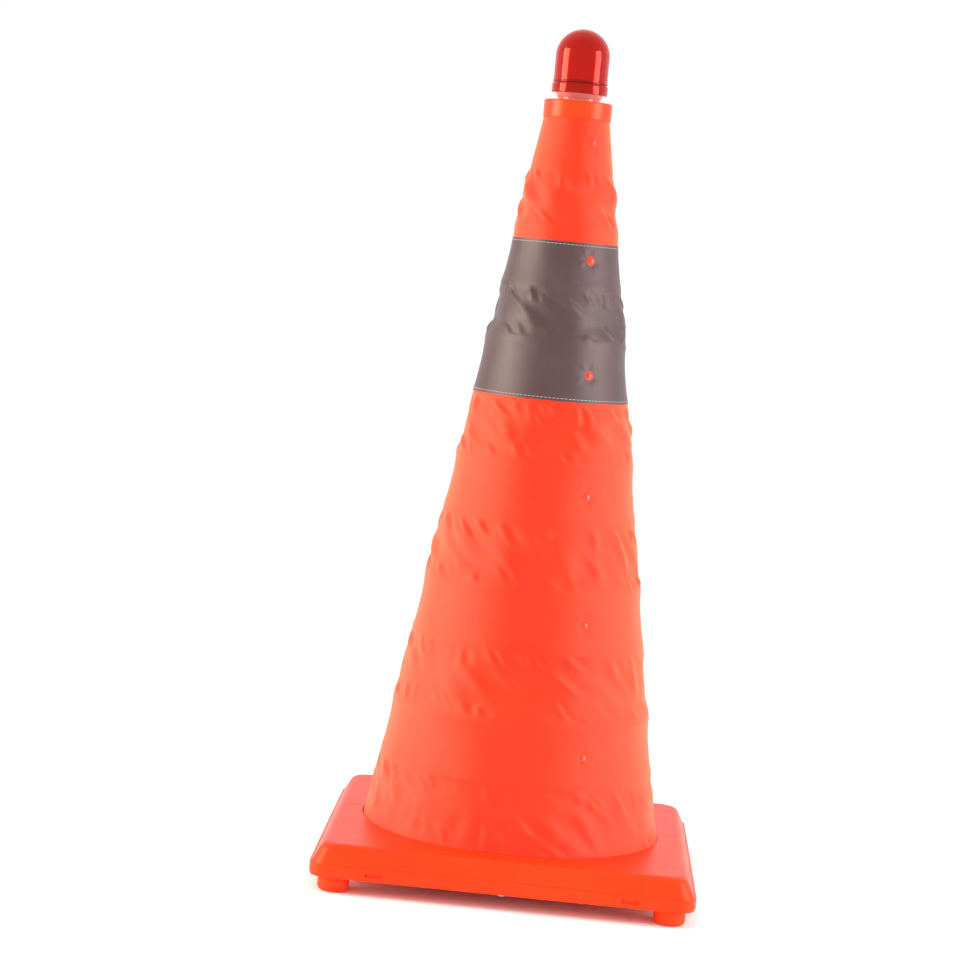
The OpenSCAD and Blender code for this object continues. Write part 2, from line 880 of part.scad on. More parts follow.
base_tray();
base_shell();
foot_front_left();
foot_front_right();
foot_rear_left();
foot_rear_right();
foot_screws();
base_screws();
hem_ring();
hem_screws();
sleeve_hem();
catch_socket();
catch_screws();
spring_clips();
cone_spring();
hoop_1();
hoop_2();
hoop_3();
hoop_4();
hoop_5();
hoop_6();
rivets_1();
rivets_2();
rivets_3();
rivets_4();
rivets_5();
rivets_6();
sleeve_1();
sleeve_2();
sleeve_3();
sleeve_4();
sleeve_5();
sleeve_6();
fold_1();
fold_2();
fold_3();
fold_4();
fold_5();
fold_6();
band_upper();
band_fold();
band_lower();
cap();
lamp_cradle();
push_switch();
return_spring();
lamp_housing();
retaining_ring();
battery_holder();
battery_cells();
battery_contacts();
circuit_board();
leds();
reflector();
lens_seal();
lens();
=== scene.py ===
"""Looks of the fold-down road cone: cloth, band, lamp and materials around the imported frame."""
import json
import math
import random

import bpy
import numpy as np
from mathutils import Matrix, Vector


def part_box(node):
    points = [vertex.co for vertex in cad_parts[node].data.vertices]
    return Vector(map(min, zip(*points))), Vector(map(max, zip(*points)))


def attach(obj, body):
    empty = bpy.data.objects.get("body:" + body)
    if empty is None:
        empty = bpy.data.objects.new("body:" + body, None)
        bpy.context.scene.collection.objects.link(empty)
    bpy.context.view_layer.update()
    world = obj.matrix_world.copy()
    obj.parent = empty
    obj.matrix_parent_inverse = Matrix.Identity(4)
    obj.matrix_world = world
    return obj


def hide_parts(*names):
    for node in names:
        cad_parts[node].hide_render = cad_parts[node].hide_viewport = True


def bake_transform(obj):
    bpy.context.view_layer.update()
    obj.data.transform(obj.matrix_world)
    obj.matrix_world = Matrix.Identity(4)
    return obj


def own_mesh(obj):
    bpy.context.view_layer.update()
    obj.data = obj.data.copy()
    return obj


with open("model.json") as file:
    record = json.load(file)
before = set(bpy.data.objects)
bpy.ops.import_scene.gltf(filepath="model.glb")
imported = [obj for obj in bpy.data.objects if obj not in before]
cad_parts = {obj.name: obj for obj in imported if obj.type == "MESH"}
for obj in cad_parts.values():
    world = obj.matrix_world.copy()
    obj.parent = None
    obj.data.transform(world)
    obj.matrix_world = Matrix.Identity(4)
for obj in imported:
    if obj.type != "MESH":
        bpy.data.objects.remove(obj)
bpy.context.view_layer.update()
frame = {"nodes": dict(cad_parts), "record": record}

# Sizes in metres, from the part's own design
CONE_FOOT_R = 0.1234
CONE_TAPER = 0.162
SHELL_TOP = 0.039
HEM_LOW = 0.0305
BAND_LOW = 0.3985
BAND_HIGH = 0.5266
BAND_PROUD = 0.00045
BAND_T = 0.0003
CLOTH_T = 0.00045
RIVET_UP = 0.0245
RIVET_AZIMUTHS = [30, 210]
CONE_WIRE_R = 0.0013

HOOPS = {k: (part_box(f"hoop_{k}")[0][2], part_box(f"hoop_{k}")[1][2]) for k in range(1, 7)}
CAP_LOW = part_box("cap")[0][2]
RIVET_Z = {k: HOOPS[k][0] + RIVET_UP for k in HOOPS}

# Levels go by the hoops' numbers, 1 under the cap to 6 at the foot, and then the base
BASE = 7
BODY = {k: f"hoop_{k}" for k in range(2, 7)} | {1: "top", BASE: "base"}

# Factor on the heights of all folds between the hoops
FOLD_STRENGTH = 1.25

# Mesh of the cloth: points in a row round the cone, and the height of a row
AROUND = 320
ROW_STEP = 0.0013


# ---------------------------------------------------------------- materials

def node_tree(name):
    material = bpy.data.materials.new(name)
    material.use_nodes = True
    nodes, links = material.node_tree.nodes, material.node_tree.links
    shader = nodes["Principled BSDF"]
    place = nodes.new("ShaderNodeTexCoord").outputs["Object"]
    return material, nodes, links, shader, place


def noise_value(nodes, links, place, scale, detail=3.0, stretch=(1, 1, 1)):
    mapping = nodes.new("ShaderNodeMapping")
    mapping.inputs["Scale"].default_value = stretch
    links.new(place, mapping.inputs["Vector"])
    noise = nodes.new("ShaderNodeTexNoise")
    noise.inputs["Scale"].default_value = scale
    noise.inputs["Detail"].default_value = detail
    links.new(mapping.outputs["Vector"], noise.inputs["Vector"])
    return noise.outputs["Fac"]


def ramp(nodes, links, value, low, high, dark, light):
    node = nodes.new("ShaderNodeValToRGB")
    node.color_ramp.elements[0].position = low
    node.color_ramp.elements[1].position = high
    node.color_ramp.elements[0].color = (*dark, 1)
    node.color_ramp.elements[1].color = (*light, 1)
    links.new(value, node.inputs["Fac"])
    return node.outputs["Color"]


def to_range(nodes, links, value, low, high):
    node = nodes.new("ShaderNodeMapRange")
    node.inputs["To Min"].default_value = low
    node.inputs["To Max"].default_value = high
    links.new(value, node.inputs["Value"])
    return node.outputs["Result"]


def bump(nodes, links, shader, height, strength, distance, before=None):
    node = nodes.new("ShaderNodeBump")
    node.inputs["Strength"].default_value = strength
    node.inputs["Distance"].default_value = distance
    links.new(height, node.inputs["Height"])
    if before:
        links.new(before, node.inputs["Normal"])
    links.new(node.outputs["Normal"], shader.inputs["Normal"])
    return node.outputs["Normal"]


def weave_height(nodes, links, threads_per_metre):
    """Plain weave from the UV map, which is in metres along and across the cloth."""
    uv = nodes.new("ShaderNodeUVMap")
    split = nodes.new("ShaderNodeSeparateXYZ")
    links.new(uv.outputs["UV"], split.inputs["Vector"])
    waves = []
    for axis in ("X", "Y"):
        turn = nodes.new("ShaderNodeMath")
        turn.operation = "MULTIPLY"
        turn.inputs[1].default_value = threads_per_metre * math.tau
        links.new(split.outputs[axis], turn.inputs[0])
        wave = nodes.new("ShaderNodeMath")
        wave.operation = "SINE"
        links.new(turn.outputs["Value"], wave.inputs[0])
        waves.append(wave.outputs["Value"])
    both = nodes.new("ShaderNodeMath")
    both.operation = "MULTIPLY"
    links.new(waves[0], both.inputs[0])
    links.new(waves[1], both.inputs[1])
    return both.outputs["Value"]


def moulded_plastic(name, dark, light, rough=(0.32, 0.42), grain=1400, grain_depth=0.00006,
                    coat=0.0, tint=(1, 1, 1, 1)):
    """Injection moulded plastic: fine texture, faint cloudiness and uneven gloss."""
    material, nodes, links, shader, place = node_tree(name)
    cloud = noise_value(nodes, links, place, 18, 2)
    links.new(ramp(nodes, links, cloud, 0.35, 0.65, dark, light), shader.inputs["Base Color"])
    links.new(
        to_range(nodes, links, noise_value(nodes, links, place, 60, 4), *rough),
        shader.inputs["Roughness"],
    )
    bump(nodes, links, shader, noise_value(nodes, links, place, grain, 2), 0.25, grain_depth)
    shader.inputs["Coat Weight"].default_value = coat
    shader.inputs["Coat Roughness"].default_value = 0.25
    shader.inputs["Specular IOR Level"].default_value = 0.35
    shader.inputs["Specular Tint"].default_value = tint
    return material


def coated_cloth(name, dark, light, rough, sheen, threads, specular, tint=(1, 1, 1, 1)):
    """Woven cloth with a thin coating: weave, soft mottling and a sheen at grazing angles."""
    material, nodes, links, shader, place = node_tree(name)
    mottle = noise_value(nodes, links, place, 26, 4)
    links.new(ramp(nodes, links, mottle, 0.3, 0.7, dark, light), shader.inputs["Base Color"])
    links.new(
        to_range(nodes, links, noise_value(nodes, links, place, 90, 3), *rough),
        shader.inputs["Roughness"],
    )
    weave = bump(nodes, links, shader, weave_height(nodes, links, threads), 0.35, 0.00008)
    crinkle = noise_value(nodes, links, place, 170, 3, (1, 1, 0.6))
    bump(nodes, links, shader, crinkle, 0.22, 0.0006, weave)
    shader.inputs["Sheen Weight"].default_value = sheen
    shader.inputs["Sheen Roughness"].default_value = 0.5
    shader.inputs["Sheen Tint"].default_value = (1.0, 0.50, 0.22, 1)
    shader.inputs["Specular IOR Level"].default_value = specular
    shader.inputs["Specular Tint"].default_value = tint
    return material


def metal(name, colour, rough=(0.25, 0.4)):
    """Bare metal with faint upright streaks."""
    material, nodes, links, shader, place = node_tree(name)
    shader.inputs["Metallic"].default_value = 1.0
    streak = noise_value(nodes, links, place, 220, 3, (1, 1, 0.2))
    dark = tuple(c * 0.8 for c in colour)
    links.new(ramp(nodes, links, streak, 0.3, 0.7, dark, colour), shader.inputs["Base Color"])
    links.new(to_range(nodes, links, streak, *rough), shader.inputs["Roughness"])
    return material


def clear_plastic(name, dark, light, rough=(0.05, 0.12), weight=0.9, ior=1.49, specular=0.5,
                  tint=(1, 1, 1, 1)):
    """Clear plastic that lets most light through, with faint cloudiness."""
    material, nodes, links, shader, place = node_tree(name)
    cloud = noise_value(nodes, links, place, 35, 2)
    links.new(ramp(nodes, links, cloud, 0.35, 0.65, dark, light), shader.inputs["Base Color"])
    links.new(
        to_range(nodes, links, noise_value(nodes, links, place, 120, 3), *rough),
        shader.inputs["Roughness"],
    )
    shader.inputs["Transmission Weight"].default_value = weight
    shader.inputs["Specular IOR Level"].default_value = specular
    shader.inputs["Specular Tint"].default_value = tint
    shader.inputs["IOR"].default_value = ior
    return material


# Tints of the highlights on orange and on red pieces
WARM = (1.0, 0.72, 0.48, 1)
RED = (1.0, 0.45, 0.35, 1)
MATERIALS = {
    "base_plastic": moulded_plastic(
        "base_plastic", (0.88, 0.030, 0.002), (0.95, 0.036, 0.003), tint=WARM
    ),
    "cap_plastic": moulded_plastic(
        "cap_plastic", (0.90, 0.034, 0.002), (0.96, 0.042, 0.004), (0.28, 0.36), coat=0.1, tint=WARM
    ),
    "cone_cloth": coated_cloth(
        "cone_cloth", (0.88, 0.012, 0.002), (0.95, 0.018, 0.003), (0.32, 0.42), 0.8, 2600, 0.36,
        WARM
    ),
    "reflective_band": coated_cloth(
        "reflective_band", (0.060, 0.029, 0.030), (0.074, 0.038, 0.039), (0.30, 0.40), 0.0, 1700,
        0.45
    ),
    "rivet_plastic": moulded_plastic(
        "rivet_plastic", (0.88, 0.026, 0.004), (0.93, 0.034, 0.006), (0.18, 0.25), coat=0.5
    ),
    "inner_plastic": moulded_plastic(
        "inner_plastic", (0.018, 0.018, 0.020), (0.030, 0.030, 0.033), (0.45, 0.6)
    ),
    "pale_plastic": moulded_plastic(
        "pale_plastic", (0.78, 0.62, 0.60), (0.86, 0.70, 0.68), (0.4, 0.5)
    ),
    "foot_rubber": moulded_plastic(
        "foot_rubber", (0.84, 0.034, 0.003), (0.90, 0.042, 0.005), (0.5, 0.62), tint=WARM
    ),
    "seal_rubber": moulded_plastic(
        "seal_rubber", (0.012, 0.012, 0.012), (0.022, 0.022, 0.022), (0.6, 0.7)
    ),
    "steel": metal("steel", (0.62, 0.63, 0.65)),
    "clear_plastic": clear_plastic(
        "clear_plastic", (0.95, 0.30, 0.24), (0.98, 0.38, 0.31), (0.08, 0.14), 0.5, specular=0.3
    ),
    "red_lens": clear_plastic(
        "red_lens", (0.66, 0.009, 0.001), (0.72, 0.013, 0.002), (0.05, 0.09), 0.82, specular=0.4,
        tint=RED
    ),
    "battery": metal("battery", (0.30, 0.33, 0.38), (0.3, 0.45)),
    "board": moulded_plastic("board", (0.012, 0.11, 0.035), (0.02, 0.15, 0.05), (0.3, 0.4)),
    "led": clear_plastic("led", (0.95, 0.90, 0.84), (1.0, 0.96, 0.90)),
    "mirror_plastic": metal("mirror_plastic", (0.80, 0.80, 0.80), (0.12, 0.22)),
}
THREAD = moulded_plastic("stitch_thread", (0.42, 0.37, 0.37), (0.55, 0.50, 0.50), (0.5, 0.65))


# ---------------------------------------------------------------- building meshes

def add_piece(name, verts, faces, material, uv=None):
    mesh = bpy.data.meshes.new(name)
    mesh.from_pydata([tuple(v) for v in verts], [], faces)
    mesh.update()
    mesh.polygons.foreach_set("use_smooth", [True] * len(mesh.polygons))
    if uv is not None:
        layer = mesh.uv_layers.new(name="UVMap")
        corners = np.empty(len(mesh.loops), dtype=int)
        mesh.loops.foreach_get("vertex_index", corners)
        layer.data.foreach_set("uv", np.asarray(uv, float)[corners].ravel())
    mesh.materials.append(material)
    piece = bpy.data.objects.new(name, mesh)
    bpy.context.scene.collection.objects.link(piece)
    return piece


def sharpen(mesh, degrees):
    """Marks as sharp every edge whose two faces meet at more than this angle."""
    normals_at = {}
    for polygon in mesh.polygons:
        for key in polygon.edge_keys:
            normals_at.setdefault(key, []).append(polygon.normal.copy())
    limit = math.cos(math.radians(degrees))
    sharp = []
    for edge in mesh.edges:
        normals = normals_at.get(tuple(sorted(edge.vertices)), [])
        sharp.append(len(normals) == 2 and normals[0].dot(normals[1]) < limit)
    layer = mesh.attributes.get("sharp_edge")
    if layer is None:
        layer = mesh.attributes.new("sharp_edge", "BOOLEAN", "EDGE")
    layer.data.foreach_set("value", sharp)


def revolve(name, profile, material, segments=128):
    """Closed ring solid: profile is a closed outline of (radius, height)."""
    rows = len(profile)
    verts = [
        (r * math.cos(math.tau * i / segments), r * math.sin(math.tau * i / segments), z)
        for i in range(segments)
        for r, z in profile
    ]
    faces = [
        (i * rows + k, j * rows + k, j * rows + (k + 1) % rows, i * rows + (k + 1) % rows)
        for i in range(segments)
        for j in [(i + 1) % segments]
        for k in range(rows)
    ]
    piece = add_piece(name, verts, faces, material)
    sharpen(piece.data, 38)
    return piece


def arc(cx, cz, r, start, end, steps):
    """Points of radius and height along an arc, angles in degrees from outward towards up."""
    return [
        (
            cx + r * math.cos(math.radians(start + (end - start) * i / steps)),
            cz + r * math.sin(math.radians(start + (end - start) * i / steps)),
        )
        for i in range(steps + 1)
    ]


# ---------------------------------------------------------------- cloth sleeve

def cone_radius(z):
    return CONE_FOOT_R - CONE_TAPER * (z - SHELL_TOP)


def inset_profile():
    """Heights and the cloth's depth under the outline: tight on the hoops, slack between them."""
    knots = [
        (HEM_LOW, 0.0), (SHELL_TOP, 0.0), (SHELL_TOP + 0.006, 0.0007), (SHELL_TOP + 0.02, 0.0017),
    ]
    for k in range(6, 1, -1):
        low, top = HOOPS[k]
        knots += [
            (low - 0.0100, 0.0018), (low - 0.0030, 0.0018), (low + 0.0010, 0.0012),
            (low + 0.0040, 0.0012), (low + 0.0120, 0.0018), (low + 0.0300, 0.0018),
            (top - 0.0100, 0.0010), (top - 0.0040, 0.0001), (top, -0.0001),
            (top + 0.0040, 0.0006), (top + 0.0120, 0.0018),
        ]
    low = HOOPS[1][0]
    knots += [
        (low - 0.0060, 0.0010), (low - 0.0014, 0.0018), (low, 0.0013), (low + 0.0040, 0.0011),
        (low + 0.0200, 0.0012), (CAP_LOW, 0.0010), (CAP_LOW + 0.01, 0.0010),
    ]
    heights, depths = zip(*knots)
    step, smooth_steps, smooth_width = 0.0003, 12, 4.5
    fine = np.arange(HEM_LOW, CAP_LOW + 0.01, step)
    depth = np.interp(fine, heights, depths)
    kernel = np.exp(-0.5 * (np.arange(-smooth_steps, smooth_steps + 1) / smooth_width) ** 2)
    padded = np.pad(depth, smooth_steps, mode="edge")
    return fine, np.convolve(padded, kernel / kernel.sum(), "valid")


INSET_Z, INSET_DEPTH = inset_profile()


def hoop_limits():
    """Heights and the least offset of the cloth, which keeps it outside each hoop's profile."""
    free, lower_bead, web, top_bead = -0.02, -0.00125, -0.0025, -0.00005
    knots = [(0.0, free)]
    for k in range(6, 0, -1):
        low, top = HOOPS[k]
        knots += [(low - 0.0012, free), (low - 0.0008, lower_bead), (low + 0.0042, lower_bead)]
        if k > 1:
            knots += [
                (low + 0.0060, web), (top - 0.0068, web), (top - 0.0048, top_bead),
                (top + 0.0008, top_bead), (top + 0.0012, free),
            ]
    knots.append((CAP_LOW + 0.01, lower_bead))
    return tuple(zip(*knots))


LIMIT_Z, LEAST_OFFSET = hoop_limits()


def wrapped(angle):
    """The same angle, from minus half a turn to half a turn."""
    return (angle + math.pi) % math.tau - math.pi


def ridge(x):
    """A soft fold's section: a round crest with a shallow valley on its lower side."""
    return np.exp(-x * x) - 0.5 * np.exp(-(((x - 1.7) / 1.25) ** 2))


def window(t, start, end, soft):
    """1 between start and end, and smoothly down to 0 over a length of soft inside each of them."""
    rise = np.clip((t - start) / soft, 0, 1)
    fall = np.clip((end - t) / soft, 0, 1)
    return (rise * rise * (3 - 2 * rise)) * (fall * fall * (3 - 2 * fall))


def gap_folds(theta, t, gap, radius, seed):
    """Slack cloth between two hoops. t is 0 at the lower hoop's top and 1 at the upper's foot."""
    rng = random.Random(seed)
    out = np.zeros_like(theta)
    body = window(t, 0.02, 0.98, 0.35)
    for _ in range(5):
        waves = rng.choice([3, 4, 5, 7])
        phase = waves * theta + rng.uniform(0, math.tau) + rng.uniform(-2, 2) * t
        out += 0.00045 * body * np.cos(phase)

    def add_folds(spacing, widths, heights, slopes, places):
        """Folds round the cone, leaning down to the right. places gives a fold's ends in t."""
        nonlocal out
        count = max(7, round(math.tau * radius / spacing))
        for i in range(count):
            centre = math.tau * (i + rng.uniform(-0.42, 0.42)) / count
            slope = rng.uniform(*slopes) * gap / radius
            width, height = rng.uniform(*widths), rng.uniform(*heights)
            start, end = places(rng)
            bend = rng.uniform(0.0, 0.004) / radius
            line = centre + slope * (0.5 - t) + bend * np.sin(4 * t + rng.uniform(0, 6))
            x = wrapped(theta - line) * radius / width
            out += height * ridge(x) * window(t, start, end, (end - start) * 0.42)

    def anywhere(rng):
        middle, reach = rng.uniform(0.3, 0.72), rng.uniform(0.22, 0.45)
        return middle - reach, middle + reach

    def under_upper_hoop(rng):
        return rng.uniform(0.55, 0.78), 1.03

    def over_lower_hoop(rng):
        return -0.03, rng.uniform(0.15, 0.42)

    add_folds(0.030, (0.0050, 0.0100), (0.0006, 0.0020), (0.4, 1.3), anywhere)
    add_folds(0.017, (0.0026, 0.0048), (0.0003, 0.0016), (0.3, 1.1), under_upper_hoop)
    add_folds(0.019, (0.0022, 0.0042), (0.0002, 0.0012), (0.3, 1.2), over_lower_hoop)
    return FOLD_STRENGTH * out


def foot_puckers(theta, t):
    """Gathers where the cloth goes down into the base, deepest at the front left."""
    rng = random.Random(9)
    out = np.zeros_like(theta)
    count = 34
    for i in range(count):
        centre = math.tau * (i + rng.uniform(-0.4, 0.4)) / count
        front = math.exp(-((wrapped(np.float64(centre) + 0.35) / 0.6) ** 2))
        width = rng.uniform(0.0035, 0.0065)
        line = centre + rng.uniform(-0.06, 0.12) * t
        x = wrapped(theta - line) * CONE_FOOT_R / width
        depth = (0.0004 + 0.0018 * front) * rng.uniform(0.4, 1.0)
        out -= depth * np.exp(-x * x) * window(t, 0.0, 0.6, 0.28)
    return out


def rivet_puckers(theta, z):
    """The cloth is drawn in at each rivet, with a few short creases running out from it."""
    out = np.zeros_like(theta)
    for height in RIVET_Z.values():
        radius = cone_radius(height)
        for azimuth in RIVET_AZIMUTHS:
            dx = wrapped(theta - math.radians(azimuth)) * radius
            dz = z - height
            near = (abs(dx) < 0.04) & (abs(dz) < 0.03)
            if not near.any():
                continue
            far = np.hypot(dx, dz)
            out -= 0.0008 * np.exp(-((far / 0.0072) ** 2))
            for angle in (200, 320, 300, 60, 130):
                ux, uz = math.cos(math.radians(angle)), math.sin(math.radians(angle))
                along, across = dx * ux + dz * uz, -dx * uz + dz * ux
                reach = window(along, 0.0035, 0.013, 0.004)
                out += 0.0004 * reach * np.exp(-((across / 0.0016) ** 2))
    return out


def sleeve_offset(theta, z):
    """How far the cloth stands off the cone's outline at an azimuth, 0 in front, and a height."""
    out = -np.interp(z, INSET_Z, INSET_DEPTH) + rivet_puckers(theta, z)
    levels = [(SHELL_TOP, HOOPS[6][0])] + [(HOOPS[k + 1][1], HOOPS[k][0]) for k in range(5, 0, -1)]
    for index, (low, high) in enumerate(levels):
        t = (z - low) / (high - low)
        inside = (t > -0.05) & (t < 1.05)
        if inside.any():
            radius = cone_radius((low + high) / 2)
            folds = gap_folds(theta[inside], t[inside], high - low, radius, 40 + index)
            if index == 0:  # over the base
                folds = folds * 0.8 + foot_puckers(theta[inside], t[inside])
            if index == len(levels) - 1:  # under the cap, where the cloth bulges at the left
                left = np.exp(-((wrapped(theta[inside] + 1.1) / 0.8) ** 2))
                folds = folds * 1.15 + 0.0022 * left * window(t[inside], 0.05, 1.0, 0.45)
            out[inside] += folds
    for count, depth in ((3, 0.00018), (7, 0.00010)):  # the sleeve is a little out of round
        out += depth * np.cos(count * theta + 40 * z)
    return np.maximum(out, np.interp(z, LIMIT_Z, LEAST_OFFSET))


def sleeve_piece(name, low, high, material, thickness, proud=0.0):
    """A closed sheet round the cone: outer face, inner face and the two cut edges."""
    rows = max(3, round((high - low) / ROW_STEP)) + 1
    theta, z = np.meshgrid(np.arange(AROUND) * math.tau / AROUND, np.linspace(low, high, rows))
    outer = cone_radius(z) + sleeve_offset(theta.ravel(), z.ravel()).reshape(z.shape) + proud
    layers = [
        np.stack([r * np.sin(theta), -r * np.cos(theta), z], -1).reshape(-1, 3)
        for r in (outer, outer - thickness)
    ]
    uv = np.stack([theta * cone_radius((low + high) / 2), z], -1).reshape(-1, 2)
    row, column = np.meshgrid(np.arange(rows - 1), np.arange(AROUND), indexing="ij")
    a, b = row * AROUND + column, row * AROUND + (column + 1) % AROUND
    outside = np.stack([a, b, b + AROUND, a + AROUND], -1).reshape(-1, 4)
    inside = outside[:, ::-1] + rows * AROUND
    first = np.arange(AROUND)
    after = (first + 1) % AROUND
    last = (rows - 1) * AROUND
    under = rows * AROUND
    low_rim = np.stack([first + under, after + under, after, first], -1)
    high_rim = np.stack(
        [first + last, after + last, after + last + under, first + last + under], -1
    )
    faces = np.concatenate([outside, inside, low_rim, high_rim])
    piece = add_piece(
        name, np.concatenate(layers), faces.tolist(), MATERIALS[material],
        np.concatenate([uv, uv]),
    )
    # The edges of both rims are sharp, so that the cut edges don't darken the faces next to them
    ends = np.empty(len(piece.data.edges) * 2, dtype=int)
    piece.data.edges.foreach_get("vertices", ends)
    ends = ends.reshape(-1, 2)
    ring = (ends % under) // AROUND
    layer = ends // under
    on_rim = (ring[:, 0] == ring[:, 1]) & ((ring[:, 0] == 0) | (ring[:, 0] == rows - 1))
    sharp = on_rim & (layer[:, 0] == layer[:, 1])
    piece.data.attributes.new("sharp_edge", "BOOLEAN", "EDGE").data.foreach_set("value", sharp)
    return piece


def cloth_segment(name, low, high, below, above, nodes, material="cone_cloth", thickness=CLOTH_T,
                  proud=0.0):
    """Cloth from one rivet row to the next, with the slack folds of the gap between two hoops in
    its shape.
    """
    piece = sleeve_piece(name, low, high, material, thickness, proud)
    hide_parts(*nodes)
    if below == above:
        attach(piece, BODY[below])
    else:
        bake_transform(piece)


cloth_segment("cloth_base_to_6", HEM_LOW, RIVET_Z[6], BASE, 6, ["sleeve_hem", "fold_6"])
for k in range(6, 1, -1):
    covered = [f"sleeve_{k}", f"fold_{k - 1}"]
    cloth_segment(f"cloth_{k}_to_{k - 1}", RIVET_Z[k], RIVET_Z[k - 1], k, k - 1, covered)
cloth_segment("cloth_top", RIVET_Z[1], CAP_LOW + 0.0003, 1, 1, ["sleeve_1"])

BAND = {"material": "reflective_band", "thickness": BAND_T, "proud": BAND_PROUD}
cloth_segment("band_lower_edge", BAND_LOW, RIVET_Z[3], 3, 3, ["band_lower"], **BAND)
cloth_segment("band_middle", RIVET_Z[3], RIVET_Z[2], 3, 2, ["band_fold"], **BAND)
cloth_segment("band_upper_edge", RIVET_Z[2], BAND_HIGH, 2, 2, ["band_upper"], **BAND)


def stitching(name, z, body, length=0.0028, gap=0.0006, r=0.00024):
    """A row of thread stitches round the cone."""
    radius = cone_radius(z)
    count = round(math.tau * radius / (length + gap))
    span = length / radius
    sides, rings = 6, 5
    verts, faces = [], []
    for i in range(count):
        middle = math.tau * i / count
        for q in range(rings):
            s = q / (rings - 1)
            theta = middle + span * (s - 0.5)
            lift = BAND_PROUD + 0.0001 + r * 0.9 * math.sin(math.pi * s) ** 0.5
            around = radius + float(sleeve_offset(np.array([theta]), np.array([z]))[0]) + lift
            size = r * (0.35 + 0.65 * math.sin(math.pi * s) ** 0.5)
            for p in range(sides):
                a = math.tau * p / sides
                out = around + size * math.cos(a) - r * 0.6
                height = z + size * math.sin(a)
                verts.append((out * math.sin(theta), -out * math.cos(theta), height))
        first = i * rings * sides
        for q in range(rings - 1):
            for p in range(sides):
                a, b = first + q * sides + p, first + q * sides + (p + 1) % sides
                faces.append((a, b, b + sides, a + sides))
        faces.append(tuple(first + p for p in range(sides - 1, -1, -1)))
        faces.append(tuple(first + (rings - 1) * sides + p for p in range(sides)))
    piece = add_piece(name, verts, faces, THREAD)
    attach(piece, body)


stitching("band_stitches_low", BAND_LOW + 0.0022, "hoop_3")
stitching("band_stitches_high", BAND_HIGH - 0.0022, "hoop_2")

# ---------------------------------------------------------------- cap and lamp

cap_low, cap_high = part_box("cap")
cap_r, cap_base, cap_top = cap_high[0], cap_low[2], cap_high[2]
cap_wall, cap_plate, stem_hole_r = 0.0034, 0.0025, 0.0175
rim_round, edge_round, hole_round = 0.0004, 0.0012, 0.0005
cap = revolve(
    "cap_cover",
    [(cap_r - cap_wall, cap_base), (cap_r - rim_round, cap_base)]
    + arc(cap_r - rim_round, cap_base + rim_round, rim_round, -90, 0, 4)
    + arc(cap_r - edge_round, cap_top - edge_round, edge_round, 0, 90, 8)
    + arc(stem_hole_r + hole_round, cap_top - hole_round, hole_round, 90, 180, 4)
    + [(stem_hole_r, cap_top - cap_plate), (cap_r - cap_wall, cap_top - cap_plate)],
    MATERIALS["cap_plastic"],
)
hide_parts("cap")
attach(cap, "top")

lens_low, lens_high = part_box("lens")
flange_r, lens_base, lens_top = lens_high[0], lens_low[2], lens_high[2]
dome_r, dome_wall, flange_h, skirt_r, seat_r = 0.0222, 0.0020, 0.0103, 0.0201, 0.0186
lug_pocket_r, lug_pocket_low, lug_pocket_high = 0.0216, 0.0026, 0.0054
flange_round = 0.0006
# The dome's outline stops this far from the axis, which leaves the ring one closed skin
axis_gap = 0.00001
flange_top = lens_base + flange_h
dome_z = lens_top - dome_r
inner_r = dome_r - dome_wall
lens = revolve(
    "lamp_dome",
    [(skirt_r, lens_base), (flange_r - flange_round, lens_base)]
    + arc(flange_r - flange_round, lens_base + flange_round, flange_round, -90, 0, 4)
    + arc(flange_r - flange_round, flange_top - 0.0032, flange_round, 0, 90, 4)
    + [
        (flange_r - 0.0009, flange_top - 0.0026),
        (flange_r - 0.0012, flange_top - 0.0016),
        (flange_r - 0.0002, flange_top - 0.0013),
    ]
    + arc(flange_r - 0.0008, flange_top - flange_round, flange_round, 0, 90, 4)
    + [(dome_r, flange_top)]
    + arc(0, dome_z, dome_r, 0, 90, 40)[:-1]
    + [(axis_gap, dome_z + dome_r), (axis_gap, dome_z + inner_r)]
    + arc(0, dome_z, inner_r, 90, 0, 36)[1:]
    + [
        (inner_r, flange_top + 0.0007),
        (seat_r, flange_top + 0.0007),
        (seat_r, flange_top - 0.0005),
        (skirt_r, flange_top - 0.0005),
        (skirt_r, lens_base + lug_pocket_high),
        (lug_pocket_r, lens_base + lug_pocket_high),
        (lug_pocket_r, lens_base + lug_pocket_low),
        (skirt_r, lens_base + lug_pocket_low),
    ],
    MATERIALS["red_lens"],
    160,
)
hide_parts("lens")
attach(lens, "lens")

# ---------------------------------------------------------------- springs

def coil(name, path, r, material, sides=10):
    """Round wire along a path of points, with rings square to it."""
    verts, faces = [], []
    last = len(path) - 1
    for i, point in enumerate(path):
        along = (path[min(i + 1, last)] - path[max(i - 1, 0)]).normalized()
        out = Vector((point.x, point.y, 0)).normalized()
        out = (out - along * out.dot(along)).normalized()
        side = along.cross(out)
        for k in range(sides):
            a = math.tau * k / sides
            verts.append(point + r * (math.cos(a) * out + math.sin(a) * side))
    for i in range(last):
        for k in range(sides):
            a, b = i * sides + k, i * sides + (k + 1) % sides
            faces.append((a, a + sides, b + sides, b))
    faces.append(tuple(range(sides)))
    faces.append(tuple(last * sides + k for k in range(sides - 1, -1, -1)))
    piece = add_piece(name, verts, faces, material)
    sharpen(piece.data, 60)
    return piece


